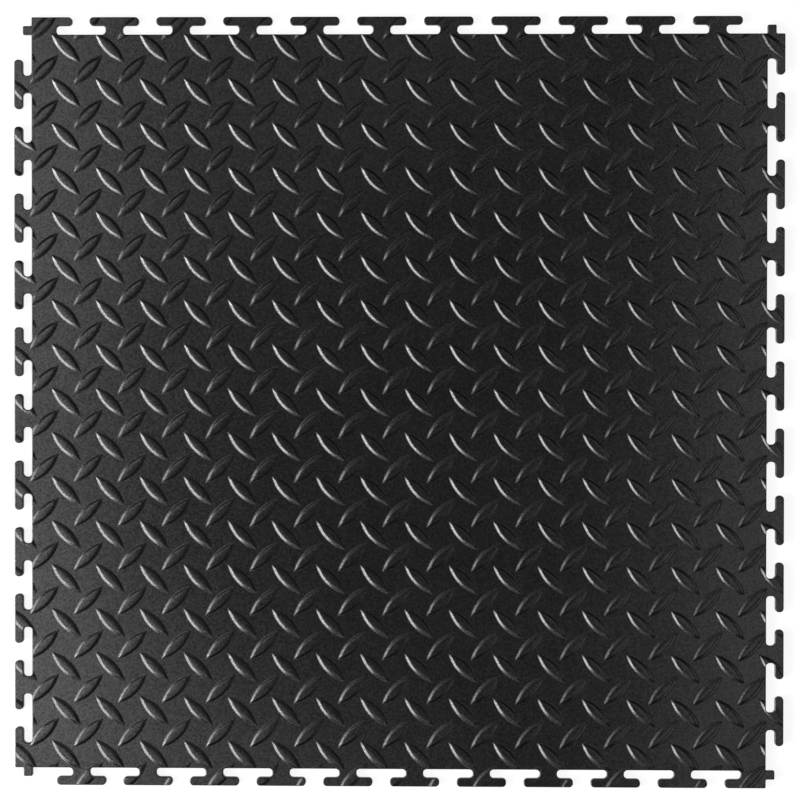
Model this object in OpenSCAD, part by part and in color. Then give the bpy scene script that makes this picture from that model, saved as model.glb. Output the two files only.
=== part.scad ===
// Interlocking floor tile with a raised diamond tread: one square of flexible PVC.
// T-shaped tabs on every edge lock into the slots between the tabs of identical tiles.
//
// +X is right, +Y is back and +Z is up. The origin is the middle of the underside,
// on the floor. All four edges are one edge, turned by 90 degrees each time: at its
// start a half tab with a corner key, then full tabs at one pitch. The tabs of the
// next tile stand half a pitch further on, so they fill the slots between these.

/* [Tile] */
// Cover size: how far apart the middles of two locked tiles are
module_size = 500; // [480:5:600]
// Thickness of the sheet, without the lugs
sheet_t = 5.5; // [4:0.1:8]
// Clearance on each side of a tab in the slot of the next tile
play = 0.15; // [0.1:0.05:0.3]

/* [Tabs] */
// Full tabs on each edge
tab_count = 10; // [8:1:12]
// How far a tab stands out of the sheet
tab_depth = 11.6; // [10.8:0.2:14]
// Distance from an edge's start to the middle line of its half tab
first_tab = 10.6; // [8:0.1:13]
// Width of a tab at its neck
neck_w = 11.4; // [9:0.2:14]
// Radius of a bar's corners, and of the hollow corners of the slots
corner_r = 2.5; // [1.5:0.1:2.5]
// How deep the foot of a tab is let into the sheet
foot_d = 1; // [0.5:0.1:2]

/* [Diamond lugs] */
// Lugs of one direction along the cover size, so the pattern runs on into the next tile
lug_rows = 17; // [15:1:18]
// Length of a lug, tip to tip
lug_l = 28.8; // [22:0.1:29.4]
// Width of a lug at its foot
lug_w = 8.6; // [7:0.1:9.4]
// Height of a lug above the sheet
lug_h = 1; // [0.8:0.1:2]
// Width of the sloping flank along each side of a lug
flank_w = 2.4; // [1.5:0.1:3]
// How far the pattern is moved to the right of the middle
lug_x = 14; // [-15:0.1:15]
// How far the pattern is moved to the back of the middle
lug_y = 0; // [-15:0.1:15]

/* [Underside] */
// Square pockets along each edge of the underside
pocket_count = 20; // [12:1:24]
// Depth of the pockets
pocket_d = 1; // [0.5:0.1:1.5]
// Width of the ribs between the pockets
rib_w = 4; // [3:0.5:6]

/* [Hidden] */
$fn = 96;

pvc_black = "#26272a";

// Edges, by the number of quarter turns clockwise from the back edge
BACK = 0;
RIGHT = 1;
FRONT = 2;
LEFT = 3;
EDGES = [BACK, RIGHT, FRONT, LEFT];

sheet_w = module_size - tab_depth - play;
overall_w = sheet_w + 2 * tab_depth;
tab_pitch = (sheet_w - 2 * first_tab) / (tab_count + 0.5);
bar_l = tab_pitch - neck_w - 2 * play;
bar_t = tab_depth / 2 - play;
neck_l = tab_depth - bar_t;
foot_w = neck_w + 2 * corner_r;
key_w = tab_depth / 2;

// A lug is the lens where two discs overlap, so its long sides are two arcs
lug_r = (lug_l * lug_l + lug_w * lug_w) / (4 * lug_w);
lug_reach = lug_l / 2 * cos(45);
lug_pitch = module_size / lug_rows;
lug_steps = ceil(overall_w / 2 / lug_pitch) + 1;
// How far from the middle of the tile a lug is still whole, and is still there
whole_limit = sheet_w / 2 - lug_reach;
cut_limit = overall_w / 2;

pocket_pitch = (sheet_w - rib_w) / pocket_count;
pocket_w = pocket_pitch - rib_w;

// Turns an edge from its own frame, with its start at the origin, its run along +X
// and outside towards +Y, to its place on the tile
module on_edge(quarter_turns) {
    rotate(-90 * quarter_turns) translate([-sheet_w / 2, sheet_w / 2]) children();
}

// ---- Outlines ----

module rounded_rectangle(length, height, radius) {
    translate([0, radius]) square([length, height - 2 * radius]);
    translate([radius, 0]) square([length - 2 * radius, height]);
    for (x = [radius, length - radius], y = [radius, height - radius])
        translate([x, y]) circle(radius);
}

// A neck and its foot, from the tab's middle line to the side that faces +X, which
// is hollowed out by the round end of the slot
module half_neck() {
    difference() {
        translate([0, -foot_d]) square([foot_w / 2, foot_d + neck_l + bar_t / 2]);
        translate([neck_w / 2, 0]) rounded_rectangle(tab_pitch, neck_l, corner_r);
    }
}

module tab_outline() {
    translate([-bar_l / 2, neck_l]) rounded_rectangle(bar_l, bar_t, corner_r);
    for (side = [0, 1]) mirror([side, 0]) half_neck();
}

// Flush with the start of the edge, where its key stands out sideways
module half_tab_outline() {
    bar_end = first_tab + bar_l / 2;
    translate([0, neck_l]) rounded_rectangle(bar_end, bar_t, corner_r);
    translate([0, -foot_d]) square([first_tab, foot_d + tab_depth]);
    translate([first_tab, 0]) half_neck();
    translate([-key_w, 0]) square(key_w);
}

module tab_row_outline() {
    for (i = [1 : tab_count]) translate([first_tab + i * tab_pitch, 0]) tab_outline();
}

// Where the feet of one edge's tabs are let into the sheet, and past its edge
module feet_outline() {
    translate([-foot_d, -foot_d]) square([foot_d + first_tab + foot_w / 2, 2 * foot_d]);
    for (i = [1 : tab_count])
        translate([first_tab + i * tab_pitch - foot_w / 2, -foot_d]) square([foot_w, 2 * foot_d]);
}

module sheet_outline() {
    difference() {
        square(sheet_w, center = true);
        for (edge = EDGES) on_edge(edge) feet_outline();
    }
}

module tile_outline() {
    square(sheet_w, center = true);
    for (edge = EDGES) on_edge(edge) {
        tab_row_outline();
        half_tab_outline();
    }
}

// ---- Sheet and tabs ----

module plate() {
    pockets_from = -sheet_w / 2 + rib_w;
    color(pvc_black) difference() {
        linear_extrude(sheet_t) sheet_outline();
        for (i = [0 : pocket_count - 1], j = [0 : pocket_count - 1])
            translate([pockets_from + i * pocket_pitch, pockets_from + j * pocket_pitch, -pocket_d])
                cube([pocket_w, pocket_w, 2 * pocket_d]);
    }
}

module tabs(edge) {
    color(pvc_black) linear_extrude(sheet_t) on_edge(edge) tab_row_outline();
}

module corner(edge) {
    color(pvc_black) linear_extrude(sheet_t) on_edge(edge) half_tab_outline();
}

// ---- Diamond lugs ----

module lug() {
    disc_offset = lug_r - lug_w / 2;
    intersection() {
        translate([0, -disc_offset]) cylinder(h = lug_h, r1 = lug_r, r2 = lug_r - flank_w);
        translate([0, disc_offset]) cylinder(h = lug_h, r1 = lug_r, r2 = lug_r - flank_w);
    }
}

// Middles of the lugs of one direction, on a square grid that passes through start
function lug_middles(start) = [
    for (i = [-lug_steps : lug_steps], j = [-lug_steps : lug_steps])
        start + lug_pitch * [i, j]
];

function from_middle(point) = max(abs(point.x), abs(point.y));

// All lugs of one direction: whole ones on the sheet, and the ones around them
// that the outline of the tile cuts through
module lugs(start, angle) {
    middles = lug_middles(start);
    whole = [for (m = middles) if (from_middle(m) < whole_limit) m];
    cut = [for (m = middles) if (from_middle(m) >= whole_limit && from_middle(m) < cut_limit) m];
    color(pvc_black) translate([0, 0, sheet_t]) {
        for (m = whole) translate(m) rotate(angle) lug();
        intersection() {
            union() for (m = cut) translate(m) rotate(angle) lug();
            linear_extrude(lug_h) tile_outline();
        }
    }
}

module rising_lugs() {
    lugs([lug_x, lug_y] + lug_pitch / 2 * [-1, 1], 45);
}

module falling_lugs() {
    lugs([lug_x, lug_y], -45);
}

plate();
rising_lugs();
falling_lugs();
tabs(BACK);  // back_tabs
tabs(RIGHT);  // right_tabs
tabs(FRONT);  // front_tabs
tabs(LEFT);  // left_tabs
corner(BACK);  // back_left_corner
corner(RIGHT);  // back_right_corner
corner(FRONT);  // front_right_corner
corner(LEFT);  // front_left_corner
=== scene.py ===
"""The looks of an interlocking floor tile of black PVC with a raised diamond tread.

The tile is one moulding, so its pieces share one material and meet without a seam. Each
piece stands for one CAD node. +X is right, +Y is back, +Z is up, and the floor is at 0.
"""

import math

import bmesh
import bpy
from mathutils import Matrix, Vector
from mathutils.geometry import delaunay_2d_cdt


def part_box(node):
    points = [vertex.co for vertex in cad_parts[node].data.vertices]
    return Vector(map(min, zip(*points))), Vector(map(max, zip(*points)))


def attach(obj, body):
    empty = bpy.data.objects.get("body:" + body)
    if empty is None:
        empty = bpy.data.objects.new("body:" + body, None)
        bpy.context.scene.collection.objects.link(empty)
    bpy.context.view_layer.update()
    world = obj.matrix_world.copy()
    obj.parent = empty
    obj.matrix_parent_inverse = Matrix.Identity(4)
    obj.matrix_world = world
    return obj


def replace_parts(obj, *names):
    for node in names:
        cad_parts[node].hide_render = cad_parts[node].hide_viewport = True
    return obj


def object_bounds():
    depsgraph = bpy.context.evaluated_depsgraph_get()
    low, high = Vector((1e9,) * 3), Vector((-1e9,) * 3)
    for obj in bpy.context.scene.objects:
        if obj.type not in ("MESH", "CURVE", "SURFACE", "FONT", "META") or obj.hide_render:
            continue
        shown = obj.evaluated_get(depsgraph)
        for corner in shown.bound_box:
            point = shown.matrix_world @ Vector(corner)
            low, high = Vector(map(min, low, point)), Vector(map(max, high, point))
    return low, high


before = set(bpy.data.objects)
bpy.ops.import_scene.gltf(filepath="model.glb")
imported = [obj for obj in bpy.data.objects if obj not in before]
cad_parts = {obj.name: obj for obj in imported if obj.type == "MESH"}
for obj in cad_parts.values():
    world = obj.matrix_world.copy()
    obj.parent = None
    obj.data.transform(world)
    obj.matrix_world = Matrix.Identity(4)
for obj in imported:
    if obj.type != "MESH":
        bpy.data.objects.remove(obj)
cad_low, cad_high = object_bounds()

MM = 0.001
BODY = "root"

# ---- Sizes that the frame gives ----

sheet_low, sheet_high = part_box("plate")
SHEET_W = sheet_high.x - sheet_low.x
SHEET_T = sheet_high.z
OVERALL_W = cad_high.x - cad_low.x
TAB_DEPTH = (OVERALL_W - SHEET_W) / 2
LUG_H = cad_high.z - SHEET_T

# ---- Sizes of the design that its boxes don't give ----

MODULE = 500 * MM
TAB_COUNT = 10
FIRST_TAB = 10.6 * MM
NECK_W = 11.4 * MM
CORNER_R = 2.5 * MM
FOOT_D = 1 * MM
LUG_ROWS = 17
LUG_L = 28.8 * MM
LUG_W = 8.6 * MM
FLANK_W = 2.4 * MM
LUG_MIDDLE = Vector((14 * MM, 0))
POCKET_COUNT = 20
POCKET_D = 1 * MM
RIB_W = 4 * MM

PLAY = MODULE - SHEET_W - TAB_DEPTH
TAB_PITCH = (SHEET_W - 2 * FIRST_TAB) / (TAB_COUNT + 0.5)
BAR_L = TAB_PITCH - NECK_W - 2 * PLAY
BAR_T = TAB_DEPTH / 2 - PLAY
NECK_L = TAB_DEPTH - BAR_T
FOOT_W = NECK_W + 2 * CORNER_R
KEY_W = TAB_DEPTH / 2
LUG_PITCH = MODULE / LUG_ROWS

# ---- Edge radii, which the CAD model leaves sharp ----

TOP_R = 0.6 * MM
BOTTOM_R = 0.25 * MM
# Radius in plan of the corners that aren't a bar's or a slot's
SHARP_R = 0.8 * MM
# A flat strip beside each rounding, so that shading stays flat on the wide faces
HOLD_W = 0.08 * MM
ROUND_STEPS = 4
ARC_STEPS = 8

BACK, RIGHT, FRONT, LEFT = range(4)
EDGE_NAMES = ["back", "right", "front", "left"]
CORNER_NAMES = ["back_left", "back_right", "front_right", "front_left"]


# ---- Plan outlines, each moved in by d from the real one ----


def arc(x, y, radius, start, end):
    """Points on an arc round (x, y), with the angles in degrees."""
    turns = [math.radians(start + (end - start) * i / ARC_STEPS) for i in range(ARC_STEPS + 1)]
    return [(x + radius * math.cos(a), y + radius * math.sin(a)) for a in turns]


def on_edge(points, edge):
    """Moves points from an edge's own frame to its place: there the edge starts at the
    origin and runs along +X, with outside towards +Y."""
    turn = Matrix.Rotation(-edge * math.pi / 2, 2)
    start = Vector((-SHEET_W / 2, SHEET_W / 2))
    return [tuple(turn @ (start + Vector(p))) for p in points]


def tab_side(neck_x, bar_x, d):
    """The side of a tab that faces +X, from its foot up to the top of its bar."""
    slot_x = neck_x + CORNER_R
    end_x = bar_x - CORNER_R
    return (
        arc(slot_x, CORNER_R, CORNER_R + d, 270, 180)
        + arc(slot_x, NECK_L - CORNER_R, CORNER_R + d, 180, 90)
        + arc(end_x, NECK_L + CORNER_R, CORNER_R - d, -90, 0)
        + arc(end_x, TAB_DEPTH - CORNER_R, CORNER_R - d, 0, 90)
    )


def tab_plan(number, d):
    middle = FIRST_TAB + number * TAB_PITCH
    side = tab_side(NECK_W / 2, BAR_L / 2, d)
    foot = [(-FOOT_W / 2, -FOOT_D), (FOOT_W / 2, -FOOT_D)]
    mirrored = [(-x, y) for x, y in reversed(side)]
    return [(middle + x, y) for x, y in side + mirrored + foot]


def corner_plan(d):
    """The half tab at the start of an edge, with the key that stands out beside it."""
    hollow = SHARP_R + d
    rounded = SHARP_R - d
    return (
        tab_side(FIRST_TAB + NECK_W / 2, FIRST_TAB + BAR_L / 2, d)
        + arc(SHARP_R, TAB_DEPTH - SHARP_R, rounded, 90, 180)
        + arc(-SHARP_R, KEY_W + SHARP_R, hollow, 0, -90)
        + arc(SHARP_R - KEY_W, KEY_W - SHARP_R, rounded, 90, 180)
        + arc(SHARP_R - KEY_W, SHARP_R, rounded, 180, 270)
        + arc(-SHARP_R, -SHARP_R, hollow, 90, 0)
        + [(d, -FOOT_D), (FIRST_TAB + FOOT_W / 2, -FOOT_D)]
    )


def sheet_plan(d):
    """The sheet, with the places where the feet of the tabs are let into it."""
    corner_x = FIRST_TAB + FOOT_W / 2
    side = [(d, -FOOT_D), (corner_x, -FOOT_D), (corner_x, -d)]
    for number in range(1, TAB_COUNT + 1):
        middle = FIRST_TAB + number * TAB_PITCH
        left, right = middle - FOOT_W / 2, middle + FOOT_W / 2
        side += [(left, -d), (left, -FOOT_D), (right, -FOOT_D), (right, -d)]
    clockwise = [p for edge in range(4) for p in on_edge(side, edge)]
    return clockwise[::-1]


def tile_plan(d):
    """The whole tile's outline, for cutting the lugs."""
    clockwise = []
    for edge in range(4):
        corner = corner_plan(d)[:-2]
        key_first = corner[::-1]
        tabs = []
        for number in range(1, TAB_COUNT + 1):
            tabs += tab_plan(number, d)[:-2][::-1]
        clockwise += on_edge(key_first + tabs, edge)
    return clockwise[::-1]


# ---- Meshes ----


def new_piece(name, bm, material):
    """Finishes a mesh and makes it a piece of the tile."""
    bmesh.ops.recalc_face_normals(bm, faces=bm.faces)
    mesh = bpy.data.meshes.new(name)
    bm.to_mesh(mesh)
    bm.free()
    mesh.shade_smooth()
    mesh.set_sharp_from_angle(angle=math.radians(50))
    mesh.materials.append(material)
    piece = bpy.data.objects.new(name, mesh)
    bpy.context.scene.collection.objects.link(piece)
    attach(piece, BODY)
    return piece


def add_ring(bm, points, z):
    return [bm.verts.new((x, y, z)) for x, y in points]


def bridge(bm, lower, upper):
    """Faces between two rings of as many points."""
    for i in range(len(lower)):
        j = (i + 1) % len(lower)
        bm.faces.new((lower[i], lower[j], upper[j], upper[i]))


def wall_profile():
    """(d, z) of each ring from the underside's edge to the top's, with rounded edges."""
    quarter = [math.pi / 2 * i / ROUND_STEPS for i in range(ROUND_STEPS + 1)]
    bottom = [(BOTTOM_R * (1 - math.sin(a)), BOTTOM_R * (1 - math.cos(a))) for a in quarter]
    top = [(TOP_R * (1 - math.cos(a)), SHEET_T - TOP_R * (1 - math.sin(a))) for a in quarter]
    return [
        (BOTTOM_R + HOLD_W, 0),
        *bottom,
        (0, BOTTOM_R + HOLD_W),
        (0, SHEET_T - TOP_R - HOLD_W),
        *top,
        (TOP_R + HOLD_W, SHEET_T),
    ]


def add_slab(bm, plan, with_underside=True):
    """A flat solid on a plan, and the ring at the edge of its underside."""
    rings = [add_ring(bm, plan(d), z) for d, z in wall_profile()]
    for lower, upper in zip(rings, rings[1:]):
        bridge(bm, lower, upper)
    bm.faces.new(rings[-1])
    if with_underside:
        bm.faces.new(rings[0][::-1])
    return rings[0]


def rounded_square(x, y, width, radius):
    reach = width / 2 - radius
    steps = 3
    points = []
    for quarter, (sx, sy) in enumerate([(1, 1), (-1, 1), (-1, -1), (1, -1)]):
        for i in range(steps + 1):
            a = math.pi / 2 * (quarter + i / steps)
            points.append((x + sx * reach + radius * math.cos(a), y + sy * reach + radius * math.sin(a)))
    return points


def add_pocket(bm, x, y, width):
    """A shallow pocket in the underside, from its rounded rim to its ceiling."""
    rim_r = 0.25 * MM
    fillet_r = 0.35 * MM
    corner_r = 1.6 * MM
    slant = math.sqrt(0.5)
    profile = [
        (rim_r, 0),
        (rim_r * (1 - slant), rim_r * (1 - slant)),
        (0, rim_r),
        (0, POCKET_D - fillet_r),
        (-fillet_r * (1 - slant), POCKET_D - fillet_r * (1 - slant)),
        (-fillet_r, POCKET_D),
    ]
    rings = [
        add_ring(bm, rounded_square(x, y, width + 2 * grow, corner_r + grow), z)
        for grow, z in profile
    ]
    for lower, upper in zip(rings, rings[1:]):
        bridge(bm, lower, upper)
    bm.faces.new(rings[-1])
    return rings[0]


def add_ribs(bm, outer, rims):
    """The ribs' undersides: triangles that fill the space between the sheet's edge and the
    rims of the pockets."""
    rings = [outer] + rims
    corners = [v for ring in rings for v in ring]
    edges, ring_of = [], []
    for number, ring in enumerate(rings):
        first = len(ring_of)
        edges += [(first + (i - 1) % len(ring), first + i) for i in range(len(ring))]
        ring_of += [number] * len(ring)
    flat = [v.co.to_2d() / MM for v in corners]
    _, _, triangles, sources, _, _ = delaunay_2d_cdt(flat, edges, [], 1, 1e-5)
    for triangle in triangles:
        numbers = [sources[i][0] for i in triangle]
        touched = {ring_of[i] for i in numbers}
        over_a_pocket = len(touched) == 1 and touched != {0}
        if not over_a_pocket:
            bm.faces.new([corners[i] for i in numbers])


def make_plate(material):
    bm = bmesh.new()
    outer = add_slab(bm, sheet_plan, with_underside=False)
    pitch = (SHEET_W - RIB_W) / POCKET_COUNT
    first = -SHEET_W / 2 + RIB_W / 2 + pitch / 2
    rims = [
        add_pocket(bm, first + i * pitch, first + j * pitch, pitch - RIB_W)
        for i in range(POCKET_COUNT)
        for j in range(POCKET_COUNT)
    ]
    add_ribs(bm, outer, rims)
    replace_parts(new_piece("sheet", bm, material), "plate")


def make_tabs(edge, material):
    bm = bmesh.new()
    for number in range(1, TAB_COUNT + 1):
        add_slab(bm, lambda d, number=number: on_edge(tab_plan(number, d), edge))
    piece = new_piece(f"{EDGE_NAMES[edge]}_tab_row", bm, material)
    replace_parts(piece, f"{EDGE_NAMES[edge]}_tabs")


def make_corner(edge, material):
    bm = bmesh.new()
    add_slab(bm, lambda d: on_edge(corner_plan(d), edge))
    piece = new_piece(f"{CORNER_NAMES[edge]}_half_tab", bm, material)
    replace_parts(piece, f"{CORNER_NAMES[edge]}_corner")


# ---- Diamond lugs ----

LUG_R = (LUG_L**2 + LUG_W**2) / (4 * LUG_W)
LUG_REACH = LUG_L / 2 * math.sqrt(0.5)
LUG_ARC_STEPS = 12
LUG_TIP_STEPS = 4
# Radius in plan of a lug's tips, at every height
LUG_TIP_R = 0.5 * MM
# How far a lug's foot goes down into the sheet
LUG_SINK = 0.2 * MM
CROWN_H = 0.08 * MM
FLANK_H = LUG_H - CROWN_H
# Width of the hollow fillet at the foot of a flank, and of the rounded shoulder at its top
BLEND_W = 0.7 * MM


def lens(d):
    """A lug's plan moved in by d: two arcs that meet in rounded tips."""
    radius = LUG_R - d
    offset = LUG_R - LUG_W / 2
    half = math.acos(offset / (radius - LUG_TIP_R))
    tip_x = math.sqrt((radius - LUG_TIP_R) ** 2 - offset**2)
    points = []
    for i in range(LUG_ARC_STEPS):
        a = half * (2 * i / LUG_ARC_STEPS - 1)
        points.append((radius * math.sin(a), offset - radius * math.cos(a)))
    for i in range(LUG_TIP_STEPS):
        a = (math.pi / 2 - half) * (2 * i / LUG_TIP_STEPS - 1)
        points.append((tip_x + LUG_TIP_R * math.cos(a), LUG_TIP_R * math.sin(a)))
    return points + [(-x, -y) for x, y in points]


def flank_height(d):
    """Height of a flank at d from its foot: a fillet, a straight slope and a shoulder."""
    slope = FLANK_H / (FLANK_W - BLEND_W)
    if d < BLEND_W:
        return slope * d**2 / (2 * BLEND_W)
    if d < FLANK_W - BLEND_W:
        return slope * (d - BLEND_W / 2)
    return FLANK_H - slope * (FLANK_W - d) ** 2 / (2 * BLEND_W)


def lug_rings():
    """Rings of points from the sunken foot to the crown's middle line, with z from the sheet."""
    steps = 3
    fillet = [BLEND_W * i / steps for i in range(steps + 1)]
    shoulder = [FLANK_W - d for d in reversed(fillet)]
    rings = [[(x, y, -LUG_SINK) for x, y in lens(0)]]
    for d in fillet + shoulder:
        rings.append([(x, y, flank_height(d)) for x, y in lens(d)])
    edge = rings[-1]
    half_l = max(x for x, y, z in edge)
    for share in (0.85, 0.5, 0):
        ring = []
        for x, y, z in edge:
            dome = (1 - (x / half_l) ** 2) * (1 - share**2)
            ring.append((x, y * share, z + CROWN_H * dome))
        rings.append(ring)
    return rings


def single_lug():
    """The points of one lug, and its faces as tuples of their numbers."""
    bm = bmesh.new()
    rings = [[bm.verts.new(p) for p in ring] for ring in lug_rings()]
    for lower, upper in zip(rings, rings[1:]):
        bridge(bm, lower, upper)
    bm.faces.new(rings[0][::-1])
    # The innermost ring is folded flat on the middle line, so its two sides become one
    bmesh.ops.remove_doubles(bm, verts=bm.verts, dist=1e-6)
    bmesh.ops.recalc_face_normals(bm, faces=bm.faces)
    bm.verts.index_update()
    points = [v.co.copy() for v in bm.verts]
    faces = [tuple(v.index for v in face.verts) for face in bm.faces]
    bm.free()
    return points, faces


def lug_mesh(middles, angle):
    """A mesh of a lug on each of the middles, turned by angle."""
    points, faces = single_lug()
    turn = Matrix.Rotation(angle, 3, "Z")
    turned = [turn @ p for p in points]
    all_points, all_faces = [], []
    for middle in middles:
        first = len(all_points)
        all_points += [p + Vector((middle.x, middle.y, SHEET_T)) for p in turned]
        all_faces += [tuple(first + i for i in face) for face in faces]
    mesh = bpy.data.meshes.new("lugs")
    mesh.from_pydata(all_points, [], all_faces)
    return mesh


def scratch_object(name, mesh):
    helper = bpy.data.objects.new(name, mesh)
    bpy.context.scene.collection.objects.link(helper)
    return helper


def outline_column():
    """A tall column on the tile's outline, as far in as the top's rounding reaches."""
    bm = bmesh.new()
    plan = tile_plan(TOP_R)
    low = add_ring(bm, plan, SHEET_T - 5 * MM)
    high = add_ring(bm, plan, SHEET_T + 5 * MM)
    bridge(bm, low, high)
    bm.faces.new(high)
    bm.faces.new(low[::-1])
    bmesh.ops.recalc_face_normals(bm, faces=bm.faces)
    mesh = bpy.data.meshes.new("column")
    bm.to_mesh(mesh)
    bm.free()
    return mesh


def cut_to_tile(mesh):
    """Adds to a new bmesh what is left of a mesh of lugs inside the tile's outline."""
    lugs = scratch_object("cut_lugs", mesh)
    column = scratch_object("column", outline_column())
    cut = lugs.modifiers.new("cut", "BOOLEAN")
    cut.operation = "INTERSECT"
    cut.solver = "EXACT"
    cut.object = column
    evaluated = lugs.evaluated_get(bpy.context.evaluated_depsgraph_get())
    result = bmesh.new()
    result.from_mesh(evaluated.to_mesh())
    evaluated.to_mesh_clear()
    for helper in (lugs, column):
        bpy.data.objects.remove(helper)
    return result


def make_lugs(name, start, angle):
    steps = range(-LUG_ROWS, LUG_ROWS + 1)
    middles = [start + LUG_PITCH * Vector((i, j)) for i in steps for j in steps]
    whole_limit = SHEET_W / 2 - LUG_REACH
    whole, cut = [], []
    for middle in middles:
        far = max(abs(middle.x), abs(middle.y))
        if far < whole_limit:
            whole.append(middle)
        elif far < OVERALL_W / 2:
            cut.append(middle)
    bm = cut_to_tile(lug_mesh(cut, angle))
    bm.from_mesh(lug_mesh(whole, angle))
    piece = new_piece(f"{name}_tread", bm, black_pvc(f"{name}_black_pvc", angle))
    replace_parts(piece, f"{name}_lugs")


# ---- Materials ----

DARK_PVC = (0.0025, 0.0025, 0.0025, 1)
LIGHT_PVC = (0.004, 0.004, 0.004, 1)
PVC_IOR = 1.56


class Nodes:
    """Short ways to add and link shader nodes."""

    def __init__(self, name):
        self.material = bpy.data.materials.new(name)
        self.material.use_nodes = True
        self.tree = self.material.node_tree
        self.shader = self.tree.nodes["Principled BSDF"]
        self.place = self.add("ShaderNodeTexCoord").outputs["Object"]

    def add(self, kind, inputs=(), **settings):
        node = self.tree.nodes.new(kind)
        for key, value in settings.items():
            setattr(node, key, value)
        for key, value in dict(inputs).items():
            if isinstance(value, bpy.types.NodeSocket):
                self.tree.links.new(value, node.inputs[key])
            else:
                node.inputs[key].default_value = value
        return node

    def link(self, source, target):
        self.tree.links.new(source, target)

    def noise(self, size, detail, roughness=0.5):
        """Noise whose largest features are about size metres across."""
        inputs = {"Vector": self.place, "Scale": 1 / size, "Detail": detail, "Roughness": roughness}
        return self.add("ShaderNodeTexNoise", inputs).outputs["Fac"]

    def spread(self, value, from_low, from_high, to_low, to_high):
        inputs = {
            "Value": value,
            "From Min": from_low,
            "From Max": from_high,
            "To Min": to_low,
            "To Max": to_high,
        }
        return self.add("ShaderNodeMapRange", inputs).outputs["Result"]

    def math(self, operation, first, second):
        return self.add("ShaderNodeMath", {0: first, 1: second}, operation=operation).outputs[0]

    def between(self, dark, light, factor):
        """A colour between two, by a factor from 0 to 1."""
        ramp = self.add("ShaderNodeValToRGB", {"Fac": factor})
        ramp.color_ramp.elements[0].color = dark
        ramp.color_ramp.elements[1].color = light
        return ramp.outputs["Color"]

    def bump(self, height, distance, normal=None):
        inputs = {"Height": height, "Distance": distance, "Strength": 1.0}
        if normal is not None:
            inputs["Normal"] = normal
        return self.add("ShaderNodeBump", inputs).outputs["Normal"]

    def streaks(self, angle, length, width):
        """Noise drawn out along a direction in plan."""
        scale = (length, width, width)
        inputs = {"Vector": self.place, "Rotation": (0, 0, angle), "Scale": scale}
        along = self.add("ShaderNodeMapping", inputs, vector_type="TEXTURE").outputs["Vector"]
        return self.add("ShaderNodeTexNoise", {"Vector": along, "Scale": 1, "Detail": 3}).outputs["Fac"]


def black_pvc(name, tread_angle=None):
    """Satin black PVC with the fine grain of a spark-eroded mould. The crowns of lugs, which
    lie along tread_angle, are scuffed along their length, and there their colour is painted
    lighter: partly scuff marks, partly a painted sheen on the lugs' tops."""
    n = Nodes(name)
    grain = n.noise(1.2 * MM, 4, 0.65)
    cloud = n.noise(60 * MM, 4, 0.55)
    wave = n.noise(35 * MM, 1)
    grain_shade = n.spread(grain, 0.3, 0.7, 0.3, 0.7)
    shade = n.math("ADD", grain_shade, n.spread(cloud, 0.3, 0.7, -0.2, 0.2))
    grain_roughness = n.spread(grain, 0.3, 0.7, -0.03, 0.03)
    roughness = n.math("ADD", n.spread(cloud, 0.3, 0.7, 0.2, 0.23), grain_roughness)
    normal = n.bump(grain, 0.002 * MM, n.bump(wave, 0.03 * MM))
    # The pits of the grain reflect less than its peaks
    gloss = n.spread(grain, 0.3, 0.7, 0.2, 0.8)
    if tread_angle is not None:
        streaks = n.streaks(tread_angle, 6 * MM, 0.6 * MM)
        height = n.add("ShaderNodeSeparateXYZ", {"Vector": n.place}).outputs["Z"]
        crown = n.spread(height, SHEET_T + 0.8 * MM, SHEET_T + LUG_H, 0, 1)
        # Crowns are rougher and painted lighter along the streaks: partly scuff marks, partly a painted
        # sheen on the lugs' tops
        scuffs_and_sheen = n.math("MULTIPLY", crown, n.spread(streaks, 0.4, 0.7, 0, 1))
        roughness = n.math("ADD", roughness, n.spread(scuffs_and_sheen, 0, 1, 0, 0.06))
        shade = n.math("ADD", shade, n.spread(scuffs_and_sheen, 0, 1, 0, 0.3))
    n.link(n.between(DARK_PVC, LIGHT_PVC, shade), n.shader.inputs["Base Color"])
    n.link(roughness, n.shader.inputs["Roughness"])
    n.link(gloss, n.shader.inputs["Specular IOR Level"])
    n.link(normal, n.shader.inputs["Normal"])
    n.shader.inputs["IOR"].default_value = PVC_IOR
    return n.material


def pale_floor():
    n = Nodes("pale_floor")
    n.shader.inputs["Base Color"].default_value = (0.1, 0.1, 0.1, 1)
    n.shader.inputs["Roughness"].default_value = 0.9
    n.shader.inputs["Emission Color"].default_value = (1, 1, 1, 1)
    n.link(by_ray(n.tree, 0.3, 0.9), n.shader.inputs["Emission Strength"])
    return n.material


# ---- Stage ----


def make_floor():
    bm = bmesh.new()
    bmesh.ops.create_grid(bm, x_segments=1, y_segments=1, size=20)
    mesh = bpy.data.meshes.new("floor")
    bm.to_mesh(mesh)
    bm.free()
    mesh.materials.append(pale_floor())
    floor = bpy.data.objects.new("floor", mesh)
    floor.location.z = -0.05 * MM
    bpy.context.scene.collection.objects.link(floor)


def make_camera():
    """Straight above the tile, a little off its middle and tilted back towards it."""
    data = bpy.data.cameras.new("camera")
    data.lens = 150
    data.sensor_width = 36
    share_of_frame = 0.9636
    height = OVERALL_W / share_of_frame * data.lens / data.sensor_width
    camera = bpy.data.objects.new("camera", data)
    camera.location = (69.8 * MM, 45.1 * MM, SHEET_T + height)
    camera.rotation_euler = [math.radians(a) for a in (-1.125, 1.776, 0.05)]
    bpy.context.scene.collection.objects.link(camera)
    bpy.context.scene.camera = camera


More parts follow.
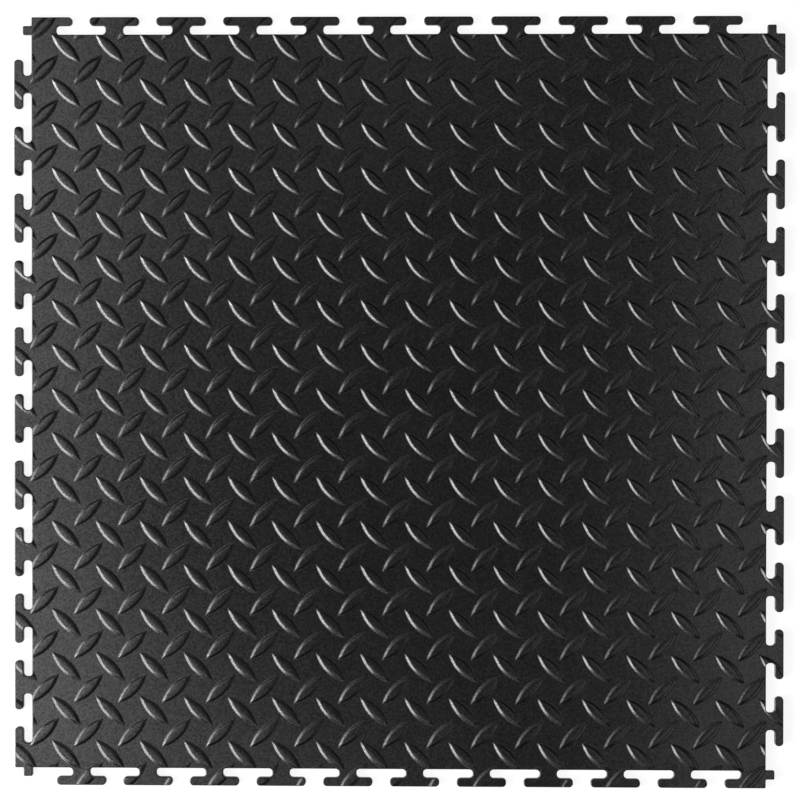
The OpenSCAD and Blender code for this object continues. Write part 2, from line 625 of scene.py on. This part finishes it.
def softbox(name, azimuth, elevation, distance, width, height, radiance):
    """A rectangular light that faces the tile's middle. Azimuth 0 is +X and 90 is +Y."""
    data = bpy.data.lights.new(name, "AREA")
    data.shape = "RECTANGLE"
    data.size = width
    data.size_y = height
    data.energy = radiance * math.pi * width * height
    light = bpy.data.objects.new(name, data)
    turn, rise = math.radians(azimuth), math.radians(elevation)
    away = Vector((math.cos(turn) * math.cos(rise), math.sin(turn) * math.cos(rise), math.sin(rise)))
    light.location = distance * away
    light.rotation_euler = (-away).to_track_quat("-Z", "Y").to_euler()
    light.visible_camera = False
    bpy.context.scene.collection.objects.link(light)


def by_ray(tree, lit, seen):
    """A strength that is seen where the camera looks straight at it, and lit everywhere else."""
    path = tree.nodes.new("ShaderNodeLightPath")
    strength = tree.nodes.new("ShaderNodeMapRange")
    strength.inputs["To Min"].default_value = lit
    strength.inputs["To Max"].default_value = seen
    tree.links.new(path.outputs["Is Camera Ray"], strength.inputs["Value"])
    return strength.outputs["Result"]


def make_studio():
    """A dim room, which the camera sees as a pale backdrop where the floor ends."""
    world = bpy.data.worlds.new("studio")
    world.use_nodes = True
    background = world.node_tree.nodes["Background"]
    background.inputs["Color"].default_value = (1, 1, 1, 1)
    strength = by_ray(world.node_tree, 0.05, 0.85)
    world.node_tree.links.new(strength, background.inputs["Strength"])
    bpy.context.scene.world = world
    bpy.context.scene.view_settings.view_transform = "Standard"


def make_lights():
    # Two large lights on the left shine on the flanks of the lugs that face them, and a
    # wide dim one on the right on the other flanks
    softbox("key", 204, 34, 3, 2.5, 1.3, 10.8)
    softbox("left_fill", 176, 33, 3.2, 2.2, 1.05, 7)
    softbox("right_fill", -6, 30, 3, 6.2, 1.2, 0.75)
    # Panels higher up give the flat sheet its sheen, which grows towards the edges. None
    # stands at the back right, so the flanks that face there stay dark
    softbox("left_panel", 180, 62, 1.05, 0.84, 0.37, 1.4)
    softbox("right_panel", -5, 72.3, 1.16, 1.09, 0.15, 0.95)
    softbox("back_panel", 126, 56, 1.14, 1.55, 0.98, 0.28)
    softbox("top_panel", 0, 90, 3.3, 2.6, 2.6, 0.075)
    softbox("front_panel", 232, 50, 1.09, 1.07, 0.83, 0.82)


make_camera()
make_studio()
make_lights()
make_floor()
pvc = black_pvc("black_pvc")
make_plate(pvc)
for edge in (BACK, RIGHT, FRONT, LEFT):
    make_tabs(edge, pvc)
    make_corner(edge, pvc)
make_lugs("falling", LUG_MIDDLE, -math.pi / 4)
make_lugs("rising", LUG_MIDDLE + LUG_PITCH / 2 * Vector((-1, 1)), math.pi / 4)
